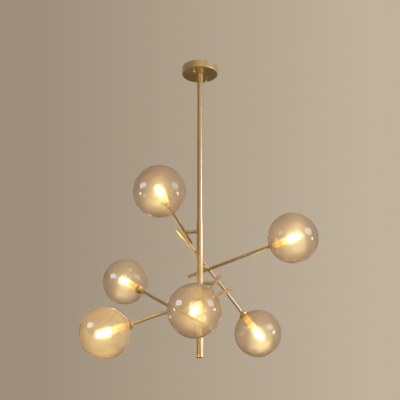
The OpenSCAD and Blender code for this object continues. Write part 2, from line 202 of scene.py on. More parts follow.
def new_material(name: str) -> tuple[bpy.types.Material, Sketch]:
    """Makes an empty node material.

    Args:
        name: The material's name.

    Returns:
        The material and a sketch of its node tree.
    """
    material = bpy.data.materials.new(name)
    material.use_nodes = True
    return material, Sketch(material.node_tree)


# ---------------------------------------------------------------- finishes


class Grain(Enum):
    """Which way a brass part was brushed."""

    ALONG = "along the part's axis"
    ROUND = "round the stem's axis"


@dataclass(frozen=True)
class BrushedBrass:
    """Satin brass under clear lacquer, with fine brush lines and slow tarnish."""

    name: str
    grain: Grain
    axis: Place = (0.0, 0.0, 1.0)
    light: Colour = (0.80, 0.62, 0.345, 1.0)
    deep: Colour = (0.68, 0.505, 0.265, 1.0)
    roughness: Span = (0.29, 0.38)
    fine_scale: float = 5200.0
    fine_share: float = 0.6
    coarse_scale: float = 1144.0
    line_stretch: float = 0.004
    line_bump: float = 0.25
    line_height: float = 0.01 * MM
    tarnish_scale: float = 34.0
    tarnish_share: float = 0.55
    contrast: Span = (0.25, 0.75)
    coat: float = 0.12
    coat_roughness: float = 0.15

    def lines(self, sketch: Sketch) -> bpy.types.NodeSocket:
        """Squeezes the part's space along the grain, so that noise in it runs in lines.

        Args:
            sketch: The node tree in work.

        Returns:
            The squeezed place.
        """
        place = sketch.place()
        if self.grain is Grain.ALONG:
            cut = sketch.math("MULTIPLY", sketch.dot(place, self.axis), 1.0 - self.line_stretch)
            return sketch.vector("SUBTRACT", place, sketch.scaled(self.axis, cut))
        parts = sketch.add("ShaderNodeSeparateXYZ", {0: place}).outputs
        flat = sketch.add("ShaderNodeCombineXYZ", {0: parts[0], 1: parts[1]}).outputs[0]
        radius = sketch.add("ShaderNodeVectorMath", {0: flat}, operation="LENGTH").outputs["Value"]
        section = sketch.add("ShaderNodeCombineXYZ", {0: radius, 2: parts[2]}).outputs[0]
        return sketch.vector("ADD", section, sketch.scaled(flat, self.line_stretch))

    def build(self) -> bpy.types.Material:
        """Builds the brass from fine lines, coarse lines and tarnish.

        Returns:
            The material.
        """
        material, sketch = new_material(self.name)
        lines = self.lines(sketch)
        fine = sketch.math("MULTIPLY", sketch.noise(lines, self.fine_scale, detail=2.0), self.fine_share)
        coarse = sketch.noise(lines, self.coarse_scale)
        brushed = sketch.math("ADD", fine, sketch.math("MULTIPLY", coarse, 1.0 - self.fine_share))
        tarnish = sketch.noise(sketch.place(), self.tarnish_scale, detail=4.0)
        # inputs 2 and 3 are the node's plain number ones
        layers = {0: self.tarnish_share, 2: brushed, 3: tarnish}
        tone = sketch.add("ShaderNodeMix", layers, data_type="FLOAT").outputs[0]
        tone = sketch.ramp(tone, *self.contrast)
        shader = sketch.add(
            "ShaderNodeBsdfPrincipled",
            {
                "Base Color": sketch.blend(tone, self.deep, self.light),
                "Metallic": 1.0,
                "Roughness": sketch.span(tone, self.roughness[1], self.roughness[0]),
                "Coat Weight": self.coat,
                "Coat Roughness": self.coat_roughness,
                "Normal": sketch.bump(brushed, self.line_bump, self.line_height),
            },
        )
        sketch.surface(shader.outputs[0])
        return material


@dataclass(frozen=True)
class PolishedBrass:
    """Bright turned brass, for the ball nuts and the threaded rings."""

    name: str = "polished_brass"
    light: Colour = (0.86, 0.62, 0.31, 1.0)
    deep: Colour = (0.74, 0.50, 0.22, 1.0)
    roughness: Span = (0.10, 0.22)
    wear_scale: float = 420.0
    wear_bump: float = 0.1
    wear_height: float = 0.03 * MM

    def build(self) -> bpy.types.Material:
        """Builds the brass with a little wear.

        Returns:
            The material.
        """
        material, sketch = new_material(self.name)
        wear = sketch.noise(sketch.place(), self.wear_scale)
        shader = sketch.add(
            "ShaderNodeBsdfPrincipled",
            {
                "Base Color": sketch.blend(wear, self.deep, self.light),
                "Metallic": 1.0,
                "Roughness": sketch.span(wear, *self.roughness),
                "Normal": sketch.bump(wear, self.wear_bump, self.wear_height),
            },
        )
        sketch.surface(shader.outputs[0])
        return material


@dataclass(frozen=True)
class Haze:
    """The share of light that the lustre scatters on its way through the glass, and how widely."""

    share: float
    roughness: float


@dataclass(frozen=True)
class AmberGlass:
    """Clear blown glass with a thin amber lustre, which catches and spreads the bulb's light.

    A band is a span of the Facing value, which is 0 where the glass faces the eye and 1 at its rim.
    """

    name: str
    lustre: float
    tint: Colour = (0.86, 0.74, 0.64, 1.0)
    edge_tint: Colour = (0.76, 0.63, 0.52, 1.0)
    haze_tint: Colour = (1.0, 0.98, 0.88, 1.0)
    lustre_tint: Colour = (0.98, 0.80, 0.47, 1.0)
    shadow_tint: Colour = (0.95, 0.89, 0.78, 1.0)
    ior: float = 1.5
    near: Haze = Haze(0.17, 0.42)
    wide: Haze = Haze(0.04, 0.60)
    edge_band: Span = (0.72, 1.0)
    haze_band: Span = (0.65, 0.05)
    film_scale: float = 22.0
    haze_wander: float = 0.15
    lustre_wander: float = 0.5

    def pane(self, sketch: Sketch, tint: object) -> bpy.types.NodeSocket:
        """Returns the clear glass of one tint."""
        inputs = {"Base Color": tint, "Roughness": 0.0, "IOR": self.ior, "Transmission Weight": 1.0}
        return sketch.add("ShaderNodeBsdfPrincipled", inputs).outputs[0]

    def veil(self, sketch: Sketch, roughness: float) -> bpy.types.NodeSocket:
        """Returns the shader that scatters light as it passes, but reflects none."""
        inputs = {"Color": self.haze_tint, "Roughness": roughness, "IOR": self.ior}
        return sketch.add("ShaderNodeBsdfRefraction", inputs, distribution="GGX").outputs[0]

    def build(self) -> bpy.types.Material:
        """Builds the glass, its haze and its lustre. Lamps and diffuse light pass straight through.

        Returns:
            The material.
        """
        material, sketch = new_material(self.name)
        facing = sketch.add("ShaderNodeLayerWeight", {"Blend": 0.5}).outputs["Facing"]
        edge = sketch.ramp(facing, *self.edge_band, smooth=True)
        glass = self.pane(sketch, sketch.blend(edge, self.tint, self.edge_tint))
        film = sketch.noise(sketch.place(), self.film_scale, detail=4.0)
        open_face = sketch.ramp(facing, *self.haze_band, smooth=True)
        for haze in (self.near, self.wide):
            thin, thick = haze.share * (1.0 - self.haze_wander), haze.share * (1.0 + self.haze_wander)
            share = sketch.math("MULTIPLY", sketch.span(film, thin, thick), open_face)
            veil = self.veil(sketch, haze.roughness)
            glass = sketch.add("ShaderNodeMixShader", {0: share, 1: glass, 2: veil}).outputs[0]
        glow = sketch.add("ShaderNodeBsdfTranslucent", {"Color": self.lustre_tint}).outputs[0]
        thin, thick = self.lustre * (1.0 - self.lustre_wander), self.lustre * (1.0 + self.lustre_wander)
        caught = sketch.span(film, thin, thick)
        glass = sketch.add("ShaderNodeMixShader", {0: caught, 1: glass, 2: glow}).outputs[0]
        passing = sketch.add("ShaderNodeBsdfTransparent", {"Color": self.shadow_tint}).outputs[0]
        path = sketch.add("ShaderNodeLightPath").outputs
        straight = sketch.math("MAXIMUM", path["Is Shadow Ray"], path["Is Diffuse Ray"])
        mixed = sketch.add("ShaderNodeMixShader", {0: straight, 1: glass, 2: passing}).outputs[0]
        sketch.surface(mixed)
        return material


@dataclass(frozen=True)
class LitCapsule:
    """The frosted envelope of a burning bulb: white hot in the middle, warmer at its base and tip."""

    axis: Place
    base: Place
    length: float
    strength: float
    name: str = "lit_bulb"
    hot: Colour = (1.0, 0.88, 0.54, 1.0)
    warm: Colour = (1.0, 0.76, 0.34, 1.0)
    frosting: Colour = (0.95, 0.92, 0.84, 1.0)
    end_band: Span = (0.2, 0.5)
    end_level: float = 0.45
    frost_scale: float = 900.0
    frost_wander: float = 0.08
    mirrored: float = 0.08

    def build(self) -> bpy.types.Material:
        """Builds the envelope. Its mirror image in the glass is faint, and in the brass it is bright.

        Returns:
            The material.
        """
        material, sketch = new_material(self.name)
        from_base = sketch.vector("SUBTRACT", sketch.place(), self.base)
        share = sketch.math("DIVIDE", sketch.dot(from_base, self.axis), self.length)
        from_middle = sketch.math("ABSOLUTE", sketch.math("SUBTRACT", share, 0.5))
        end = sketch.ramp(from_middle, *self.end_band, smooth=True)
        frost = sketch.noise(sketch.place(), self.frost_scale, detail=2.0)
        dimming = sketch.span(end, 1.0, self.end_level)
        frosted = sketch.span(frost, 1.0 - self.frost_wander, 1.0 + self.frost_wander)
        level = sketch.math("MULTIPLY", dimming, frosted)
        path = sketch.add("ShaderNodeLightPath").outputs
        ghost = sketch.math("MULTIPLY", path["Glossy Depth"], path["Transmission Depth"])
        ghost = sketch.math("MINIMUM", ghost, 1.0)
        seen = sketch.span(ghost, self.strength, self.strength * self.mirrored)
        shader = sketch.add(
            "ShaderNodeBsdfPrincipled",
            {
                "Base Color": self.frosting,
                "Roughness": 0.5,
                "Emission Color": sketch.blend(end, self.hot, self.warm),
                "Emission Strength": sketch.math("MULTIPLY", level, seen),
            },
        )
        sketch.surface(shader.outputs[0])
        return material


@dataclass(frozen=True)
class PaintedGlowCeramic:
    """Ceramic or clear silicone beside a burning bulb, with a painted glow that stands in for the bulb's
    light on it.
    """

    name: str
    axis: Place
    face: Place
    depth: float = 48 * MM
    light: Colour = (0.66, 0.49, 0.23, 1.0)
    deep: Colour = (0.44, 0.28, 0.10, 1.0)
    # painted glow: emission colour and strength range that stand in for the bulb's light on the part
    glow: Colour = (0.30, 0.15, 0.03, 1.0)
    level: Span = (0.9, 3.0)
    roughness: Span = (0.12, 0.28)
    glaze_scale: float = 420.0
    glaze_wander: float = 0.4

    def build(self) -> bpy.types.Material:
        """Builds the ceramic with its painted glow, strongest at the bulb's end.

        Returns:
            The material.
        """
        material, sketch = new_material(self.name)
        glaze = sketch.noise(sketch.place(), self.glaze_scale, detail=4.0)
        # painted glow, fading with distance behind the bulb's face and uneven with the glaze
        behind = sketch.dot(sketch.vector("SUBTRACT", self.face, sketch.place()), self.axis)
        near = sketch.ramp(behind, self.depth, 0.0, smooth=True)
        uneven = sketch.span(glaze, 1.0 - self.glaze_wander, 1.0 + self.glaze_wander)
        lit = sketch.math("MULTIPLY", near, uneven)
        shader = sketch.add(
            "ShaderNodeBsdfPrincipled",
            {
                "Base Color": sketch.blend(glaze, self.deep, self.light),
                "Roughness": sketch.span(glaze, *self.roughness),
                "Emission Color": self.glow,
                "Emission Strength": sketch.span(lit, *self.level),
            },
        )
        sketch.surface(shader.outputs[0])
        return material


@dataclass(frozen=True)
class PlainFinish:
    """A finish with slow colour variation, fine bump and uneven gloss: steel, nylon or sleeving."""

    name: str
    light: Colour
    deep: Colour
    roughness: Span
    metallic: float = 0.0
    grain_scale: float = 260.0
    grain_bump: float = 0.08
    grain_height: float = 0.1 * MM

    def build(self) -> bpy.types.Material:
        """Builds the finish.

        Returns:
            The material.
        """
        material, sketch = new_material(self.name)
        grain = sketch.noise(sketch.place(), self.grain_scale, detail=4.0)
        shader = sketch.add(
            "ShaderNodeBsdfPrincipled",
            {
                "Base Color": sketch.blend(grain, self.deep, self.light),
                "Metallic": self.metallic,
                "Roughness": sketch.span(grain, *self.roughness),
                "Normal": sketch.bump(grain, self.grain_bump, self.grain_height),
            },
        )
        sketch.surface(shader.outputs[0])
        return material


ZINC = PlainFinish(
    "zinc_steel",
    light=(0.66, 0.66, 0.68, 1.0),
    deep=(0.45, 0.45, 0.47, 1.0),
    roughness=(0.30, 0.48),
    metallic=1.0,
    grain_scale=600.0,
)
SCREW_STEEL = PlainFinish(
    "screw_steel",
    light=(0.50, 0.43, 0.33, 1.0),
    deep=(0.32, 0.27, 0.20, 1.0),
    roughness=(0.25, 0.4),
    metallic=1.0,
    grain_scale=900.0,
)
NYLON = PlainFinish(
    "nylon",
    light=(0.86, 0.86, 0.83, 1.0),
    deep=(0.78, 0.78, 0.75, 1.0),
    roughness=(0.45, 0.6),
)
SLEEVING = PlainFinish(
    "lead_sleeving",
    light=(0.80, 0.77, 0.70, 1.0),
    deep=(0.70, 0.67, 0.60, 1.0),
    roughness=(0.5, 0.65),
    grain_scale=500.0,
)


# ---------------------------------------------------------------- shared shaping


def dress(node: str, material: bpy.types.Material) -> None:
    """Gives a CAD node its material and smooth curves.

    Args:
        node: The CAD node's name.
        material: The finish that it gets.
    """
    mesh = frame["nodes"][node].data
    mesh.materials.clear()
    mesh.materials.append(material)
    mesh.shade_smooth()
    mesh.set_sharp_from_angle(angle=CREASE)
    LOG.info("dressed %s in %s", node, material.name)


def arc(centre: Point, radius: float, start: float, end: float, steps: int) -> list[Point]:
    """Lists points on an arc in the section plane.

    Args:
        centre: The arc's centre, as distance from the axis and height.
        radius: The arc's radius.
        start: First angle in degrees, from the outward direction.
        end: Last angle in degrees.
        steps: How many equal steps the arc has.

    Returns:
        The points from start to end.
    """
    angles = [math.radians(start + (end - start) * i / steps) for i in range(steps + 1)]
    return [(centre[0] + radius * math.cos(a), centre[1] + radius * math.sin(a)) for a in angles]


def finish_mesh(name: str, builder: bmesh.types.BMesh, place: Matrix) -> bpy.types.Object:
    """Turns a mesh under work into a smooth piece.

    Args:
        name: The piece's name.
        builder: The mesh under work, which is freed.
        place: Where the local frame goes.

    Returns:
        The new object.
    """
    bmesh.ops.recalc_face_normals(builder, faces=builder.faces)
    mesh = bpy.data.meshes.new(name)
    builder.to_mesh(mesh)
    builder.free()
    mesh.transform(place)
    mesh.shade_smooth()
    piece = bpy.data.objects.new(name, mesh)
    bpy.context.scene.collection.objects.link(piece)
    return piece


def lathe(name: str, section: list[Point], turns: int, place: Matrix) -> bpy.types.Object:
    """Spins a section round the local Z axis into a smooth mesh.

    Args:
        name: The piece's name.
        section: Points as distance from the axis and height. A distance of 0 closes that end.
        turns: How many steps go round.
        place: Where the local frame goes.

    Returns:
        The new object.
    """
    builder = bmesh.new()
    rings = []
    for radius, height in section:
        if radius < ON_AXIS:
            rings.append([builder.verts.new((0.0, 0.0, height))])
            continue
        angles = [math.tau * i / turns for i in range(turns)]
        corners = [(radius * math.cos(a), radius * math.sin(a), height) for a in angles]
        rings.append([builder.verts.new(corner) for corner in corners])
    for low, high in zip(rings, rings[1:]):
        for i in range(turns):
            here = [low[i % len(low)], low[(i + 1) % len(low)]]
            there = [high[(i + 1) % len(high)], high[i % len(high)]]
            builder.faces.new(list(dict.fromkeys(here + there)))
    return finish_mesh(name, builder, place)


@dataclass(frozen=True)
class Thread:
    """A screw thread's ridge, which fades out at both ends."""

    root: float
    crest: float
    pitch: float
    start: float
    turns: float
    steps: int = 40
    sunk: float = 0.3 * MM
    fade_turns: float = 0.5
    half_width_share: float = 0.42
    crest_share: float = 0.25

    def cut(self, name: str, place: Matrix) -> bpy.types.Object:
        """Makes the ridge as one closed mesh along its helix.

        Args:
            name: The piece's name.
            place: Where the local frame goes.

        Returns:
            The new object.
        """
        builder = bmesh.new()
        count = round(self.turns * self.steps)
        rows = []
        for i in range(count + 1):
            angle = math.tau * i / self.steps
            height = self.start + self.pitch * i / self.steps
            to_end = min(i, count - i) / self.steps
            crest = self.root + (self.crest - self.root) * min(1.0, to_end / self.fade_turns)
            foot = self.root - self.sunk
            half = self.pitch * self.half_width_share
            top = half * self.crest_share
            corners = [(foot, -half), (crest, -top), (crest, top), (foot, half)]
            across, along = math.cos(angle), math.sin(angle)
            rows.append([builder.verts.new((r * across, r * along, height + z)) for r, z in corners])
        for low, high in zip(rows, rows[1:]):
            for k, after in ((0, 1), (1, 2), (2, 3), (3, 0)):
                builder.faces.new((low[k], low[after], high[after], high[k]))
        builder.faces.new(rows[0])
        builder.faces.new(rows[-1])
        return finish_mesh(name, builder, place)


# ---------------------------------------------------------------- sub-assemblies


@dataclass
class CeilingEnd:
    """The canopy with its ball nuts, and the strap, studs, nipple and terminal block inside it."""

    steel_nodes: tuple[str, ...] = (
        "ceiling_bracket",
        "bracket_studs",
        "nipple",
        "nipple_nut",
        "lock_washer",
    )

    def dress(self) -> None:
        """Gives every node of the ceiling end its finish."""
        dress("canopy", BrushedBrass("canopy_brass", Grain.ROUND).build())
        dress("cap_nuts", PolishedBrass().build())
        zinc = ZINC.build()
        for node in self.steel_nodes:
            dress(node, zinc)
        dress("terminal_block", NYLON.build())
        dress("main_lead", SLEEVING.build())


@dataclass
class Stem:
    """Collar, down rod and body tube with its stubs, end cap and grub screws."""

    tube_nodes: tuple[str, ...] = ("collar", "downrod", "body_tube")
    screw_nodes: tuple[str, ...] = ("set_screws", "stop_screws")

    def dress(self) -> None:
        """Gives every node of the stem its finish."""
        drawn = BrushedBrass("stem_brass", Grain.ALONG).build()
        for node in self.tube_nodes:
            dress(node, drawn)
        spun = BrushedBrass("cap_brass", Grain.ROUND).build()
        dress("bottom_cap", spun)
        dress("stub_tubes", spun)
        screws = SCREW_STEEL.build()
        for node in self.screw_nodes:
            dress(node, screws)


@dataclass
class Arm:
    """One swivelling arm: its tube and pivot, and where its globe is."""

    number: int
    reach: float = 327 * MM
    pivot: Vector = field(init=False)
    axis: Vector = field(init=False)

    def __post_init__(self) -> None:
        """Finds the arm's swivel and direction in the frame."""
        joint = next(j for j in frame["joints"] if j["name"] == f"arm_{self.number}_swivel")
        self.pivot = Vector(joint["pos_m"])
        low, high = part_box(self.part("shade_ring"))
        self.axis = ((low + high) / 2 - self.pivot).normalized()

    def part(self, name: str) -> str:
        """Returns the full name of one of this arm's nodes."""
        return f"arm_{self.number}_{name}"

    @property
    def body(self) -> str:
        """The CAD body that the arm's pieces ride on."""
        return f"arm_{self.number}"

    @property
    def globe_centre(self) -> Vector:
        """The centre of the arm's globe."""
        return self.pivot + self.axis * self.reach

    @property
    def globe_place(self) -> Matrix:
        """The frame at the globe's centre, with the arm on its -Z side."""
        turn = self.axis.to_track_quat("Z", "Y").to_matrix().to_4x4()
        return Matrix.Translation(self.globe_centre) @ turn

    def dress(self) -> None:
        """Gives the tube and pivot their brass, brushed along the arm, and the cup a brighter, more orange
        copy that paints in the bulb's light on it.
        """
        way = tuple(self.axis)
        brass = BrushedBrass(f"arm_{self.number}_brass", Grain.ALONG, way).build()
        for name in ("tube", "pivot"):
            dress(self.part(name), brass)
        # painted light: a brighter, more orange copy of the brass, in place of the bulb's light falling on
        # the cup
        cup_brass_with_painted_light = BrushedBrass(
            f"cup_{self.number}_brass",
            Grain.ALONG,
            way,
            light=(0.98, 0.70, 0.34, 1.0),
            deep=(0.86, 0.56, 0.24, 1.0),
            roughness=(0.18, 0.26),
        )
        dress(self.part("cup"), cup_brass_with_painted_light.build())


@dataclass
class Globe:
    """A blown glass globe with a short flared neck."""

    arm: Arm
    lustre: float
    radius: float = 75 * MM
    wall: float = 2.2 * MM
    neck_radius: float = 13.5 * MM
    neck_flare: float = 4 * MM
    neck_straight: float = 1.5 * MM
    ripple: float = 0.25 * MM
    ripple_scale: float = 26.0
    ripple_shift: float = 7.0
    inside_band: float = 0.05 * MM
    turns: int = 128
    body_steps: int = 80
    lip_steps: int = 8

    def section(self) -> list[Point]:
        """Draws the glass section: outside from the crown to the neck's end, then back up inside.

        Returns:
            The section's points.
        """
        flare_x = self.neck_radius + self.neck_flare
        to_flare = self.radius + self.neck_flare
        flare_z = -math.sqrt(to_flare**2 - flare_x**2)
        neck_end = flare_z - self.neck_straight
        touch = math.degrees(math.atan2(flare_z, flare_x))
        outside = arc((0.0, 0.0), self.radius, 90.0, touch, self.body_steps)
        flare = arc((flare_x, flare_z), self.neck_flare, 180.0 + touch, 180.0, self.lip_steps)[1:]
        bore = self.neck_radius - self.wall
        inner_radius = self.radius - self.wall
        lip = self.wall / 2
        rim = arc((self.neck_radius - lip, neck_end + lip), lip, 0.0, -180.0, self.lip_steps)
        neck_top = math.degrees(math.asin(-math.sqrt(inner_radius**2 - bore**2) / inner_radius))
        inside = arc((0.0, 0.0), inner_radius, neck_top, 90.0, self.body_steps)
        section = [*outside, *flare, *rim, *inside]
        section[0] = (0.0, self.radius)
        section[-1] = (0.0, inner_radius)
        return section

    def blow(self) -> bpy.types.Object:
        """Makes the globe, whose inside wanders a little as blown glass does.

        Returns:
            The globe.
        """
        number = self.arm.number
        globe = lathe(f"glass_globe_{number}", self.section(), self.turns, self.arm.globe_place)
        centre = self.arm.globe_centre
        inner_radius = self.radius - self.wall
        own_pattern = Vector((number * self.ripple_shift, 0.0, 0.0))
        for vertex in globe.data.vertices:
            spoke = vertex.co - centre
            if abs(spoke.length - inner_radius) < self.inside_band:
                wander = noise.noise(spoke * self.ripple_scale + own_pattern)
                vertex.co = centre + spoke * (1.0 + wander * self.ripple / inner_radius)
        globe.data.materials.append(AmberGlass(f"amber_glass_{number}", self.lustre).build())
        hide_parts(self.arm.part("globe"))
        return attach(globe, self.arm.body)


@dataclass
class Socket:
    """The ceramic lampholder with its thread, its two clear rings and the shade ring that screws on it."""

    arm: Arm
    skirt_radius: float = 8.5 * MM
    thread_height: float = 0.9 * MM
    thread_pitch: float = 2.0 * MM
    thread_start: float = -69.3 * MM
    thread_turns: float = 2.75
    collar_radius: float = 11.0 * MM
    collar_low: float = -36.4 * MM
    collar_height: float = 5.0 * MM
    collar_dish: float = 0.8 * MM
    collar_grip: float = 0.2 * MM
    collar_turns: int = 64
    collar_steps: int = 12
    bulb_radius: float = BULB_BASE_RADIUS
    face: float = HOLDER_FACE
    ring_radius: float = 10.9 * MM
    ring_low: float = -56.0 * MM
    ring_height: float = 4.0 * MM
    ring_sunk: float = 1.6 * MM
    ring_edge: float = 0.7 * MM
    ring_teeth: int = 30
    tooth_steps: int = 4
    tooth_depth: float = 0.6 * MM
    tooth_band: float = 0.1 * MM
    # painted glow of the clear rings and the bulb's base, in place of the bulb's light on them
    silicone_painted_glow: Colour = (0.30, 0.21, 0.06, 1.0)
    silicone_painted_glow_level: Span = (2.4, 4.4)

    @property
    def holder_face(self) -> Place:
        """The middle of the face that the bulb stands on."""
        return tuple(self.arm.globe_place @ Vector((0.0, 0.0, self.face)))

    def ceramic(self) -> bpy.types.Material:
        """Returns the lampholder's finish, with a painted amber glow near the bulb in place of the bulb's
        light on it.
        """
        return PaintedGlowCeramic(f"painted_glow_ceramic_{self.arm.number}", tuple(self.arm.axis), self.holder_face).build()

    def silicone(self) -> bpy.types.Material:
        """Builds the finish of the clear rings and the bulb's base, with a painted bright yellow glow in
        place of the bulb's light on them.

        Returns:
            The material.
        """
        finish = PaintedGlowCeramic(
            f"painted_glow_silicone_{self.arm.number}",
            tuple(self.arm.axis),
            self.holder_face,
            glow=self.silicone_painted_glow,
            level=self.silicone_painted_glow_level,
        )
        return finish.build()

    def dress(self, polished: bpy.types.Material, ceramic: bpy.types.Material) -> None:
        """Dresses the shade ring and the lampholder.

        Args:
            polished: The finish of the ring.
            ceramic: The finish of the lampholder.
        """
        dress(self.arm.part("shade_ring"), polished)
        dress(self.arm.part("lampholder"), ceramic)

    def ride(self, piece: bpy.types.Object, finish: bpy.types.Material) -> bpy.types.Object:
        """Gives a piece its finish and lets it ride on the arm.

        Args:
            piece: The new piece.
            finish: Its material.

        Returns:
            The piece.
        """
        piece.data.materials.append(finish)
        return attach(piece, self.arm.body)

    def cut_thread(self, ceramic: bpy.types.Material) -> bpy.types.Object:
        """Cuts the thread that shows on the skirt above the shade ring.

        Args:
            ceramic: The finish of the lampholder.

        Returns:
            The thread.
        """
        crest = self.skirt_radius + self.thread_height
        ridge = Thread(self.skirt_radius, crest, self.thread_pitch, self.thread_start, self.thread_turns)
        thread = ridge.cut(f"holder_thread_{self.arm.number}", self.arm.globe_place)
        return self.ride(thread, ceramic)

    def turn_collar(self, silicone: bpy.types.Material) -> bpy.types.Object:
        """Makes the round-edged clear ring that holds the bulb's base.

        Args:
            silicone: The finish of the ring.

        Returns:
            The ring.
        """
        low, high = self.collar_low, self.collar_low + self.collar_height
        inner = self.bulb_radius - self.collar_grip
        edge = self.collar_height / 2
        section = [(inner, low + self.collar_dish), (self.collar_radius - edge, low)]
        section += arc((self.collar_radius - edge, low + edge), edge, -90.0, 90.0, self.collar_steps)[1:]
        section += [(inner, high - self.collar_dish), (inner, low + self.collar_dish)]
        name = f"holder_collar_{self.arm.number}"
        collar = lathe(name, section, self.collar_turns, self.arm.globe_place)
        return self.ride(collar, silicone)

    def knurl_ring(self, silicone: bpy.types.Material) -> bpy.types.Object:
        """Makes the knurled ring round the lampholder's head.

        Args:
            silicone: The finish of the ring.

        Returns:
            The ring.
        """
        low, high = self.ring_low, self.ring_low + self.ring_height
        inner, outer = self.skirt_radius - self.ring_sunk, self.ring_radius
        edge = self.ring_edge
        section = [(inner, low), (outer - edge, low), (outer, low + edge)]
        section += [(outer, high - edge), (outer - edge, high), (inner, high), (inner, low)]
        place = self.arm.globe_place
        name = f"lock_ring_{self.arm.number}"
        ring = lathe(name, section, self.ring_teeth * self.tooth_steps, place)
        back = place.inverted()
        for vertex in ring.data.vertices:
            spot = back @ vertex.co
            spoke = math.hypot(spot.x, spot.y)
            if spoke > outer - self.tooth_band:
                wave = 0.5 - 0.5 * math.cos(math.atan2(spot.y, spot.x) * self.ring_teeth)
                shrunk = 1.0 - wave * self.tooth_depth / spoke
                vertex.co = place @ Vector((spot.x * shrunk, spot.y * shrunk, spot.z))
        ring.data.set_sharp_from_angle(angle=CREASE)
        return self.ride(ring, silicone)


@dataclass
class Capsule:
    """A lit capsule bulb: a ribbed base and a frosted envelope with a round end."""

    arm: Arm
    strength: float
    face: float = HOLDER_FACE
    base_radius: float = BULB_BASE_RADIUS
    base_length: float = 20 * MM
    base_crease_deg: float = 40.0
    rib_depth: float = 0.5 * MM
    rib_width: float = 1.6 * MM
    rib_slope: float = 0.2 * MM
    ribs: int = 4
    radius: float = 8 * MM
    length: float = 62 * MM
    seam: float = 0.1 * MM
    edge: float = 1.2 * MM
    edge_steps: int = 5
    tip_steps: int = 16
    turns: int = 48

    def base_section(self) -> list[Point]:
        """Draws the base's section, from the lampholder's face to the envelope, with grooves near its top.

        Returns:
            The section's points.
        """
        top = self.face + self.base_length
        section = [(0.0, self.face), (self.base_radius, self.face)]
        first = top - self.edge - (2 * self.ribs) * self.rib_width
        groove = self.base_radius - self.rib_depth
        for i in range(self.ribs):
            low = first + 2 * i * self.rib_width
            high = low + self.rib_width
            section += [(self.base_radius, low), (groove, low + self.rib_slope)]
            section += [(groove, high), (self.base_radius, high + self.rib_slope)]
        section += [(self.base_radius, top - self.edge), (self.base_radius - self.edge, top), (0.0, top)]
        return section

    def envelope_section(self) -> list[Point]:
        """Draws the envelope's section, from just over the base to the tip.

        Returns:
            The section's points.
        """
        low = self.face + self.base_length + self.seam
        tip = self.face + self.length
        shoulder = self.radius - self.edge
        section = [(0.0, low), (shoulder, low)]
        section += arc((shoulder, low + self.edge), self.edge, -90.0, 0.0, self.edge_steps)[1:]
        section += arc((0.0, tip - self.radius), self.radius, 0.0, 90.0, self.tip_steps)
        section[-1] = (0.0, tip)
        return section

    def make(self, base_finish: bpy.types.Material) -> list[bpy.types.Object]:
        """Makes the bulb's two pieces.

        Args:
            base_finish: The finish of the base.

        Returns:
            The base and the envelope.
        """
        number, place = self.arm.number, self.arm.globe_place
        base = lathe(f"capsule_base_{number}", self.base_section(), self.turns, place)
        base.data.set_sharp_from_angle(angle=math.radians(self.base_crease_deg))
        base.data.materials.append(base_finish)
        envelope = lathe(f"lit_capsule_{number}", self.envelope_section(), self.turns, place)
        lit_length = self.length - self.base_length
        foot = place @ Vector((0.0, 0.0, self.face + self.base_length))
        lit = LitCapsule(tuple(self.arm.axis), tuple(foot), lit_length, self.strength)
        envelope.data.materials.append(lit.build())
        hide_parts(self.arm.part("bulb"))
        return [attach(piece, self.arm.body) for piece in (base, envelope)]


# ---------------------------------------------------------------- studio


@dataclass(frozen=True)
class Softbox:
    """A soft area light that faces the middle of the chandelier."""

    name: str
    place: Place
    size: Span
    power: float
    colour: LampColour
    target: Place = (0.0, 0.0, -0.7)

    def across(self, name: str, side: float, size: Span, power: float) -> "Softbox":
        """Makes a light like this one at the same or the other side of the stem.

        Args:
            name: The new light's name.
            side: 1 for the same side, -1 for the other.
            size: The new light's size.
            power: The new light's power.

        Returns:
            The new light.
        """
        place = (self.place[0] * side, self.place[1], self.place[2])
        return replace(self, name=name, place=place, size=size, power=power)

    def hang(self) -> bpy.types.Object:
        """Puts the light in the scene, facing its target and unseen through glass.

        Returns:
            The light's object.
        """
        lamp = bpy.data.lights.new(self.name, "AREA")
        lamp.shape = "RECTANGLE"
        lamp.size, lamp.size_y = self.size
        lamp.energy = self.power
        lamp.color = self.colour
        stand = bpy.data.objects.new(self.name, lamp)
        stand.location = self.place
        aim = Vector(self.target) - Vector(self.place)
        stand.rotation_euler = aim.to_track_quat("-Z", "Y").to_euler()
        stand.visible_transmission = False
        bpy.context.scene.collection.objects.link(stand)
        return stand


@dataclass(frozen=True)
class Flag:
    """A dark board that only metal and glass reflect."""

    name: str
    centre: Place
    half: Place
    colour: Colour

    def hang(self) -> None:
        """Puts the board in the scene. Its thin direction is the one with a half size of 0."""
        sides = [a for a in range(3) if self.half[a] > 0.0]
        corners = []
        for first, second in ((-1, -1), (1, -1), (1, 1), (-1, 1)):
            corner = Vector(self.centre)
            corner[sides[0]] += first * self.half[sides[0]]
            corner[sides[1]] += second * self.half[sides[1]]
            corners.append(corner)
        mesh = bpy.data.meshes.new(self.name)
        mesh.from_pydata(corners, [], [(0, 1, 2, 3)])
        material, sketch = new_material(self.name)
        sketch.surface(sketch.add("ShaderNodeEmission", {"Color": self.colour}).outputs[0])
        mesh.materials.append(material)
        board = bpy.data.objects.new(self.name, mesh)
        bpy.context.scene.collection.objects.link(board)
        board.visible_camera = False
        board.visible_diffuse = False
        board.visible_transmission = False
        board.visible_shadow = False


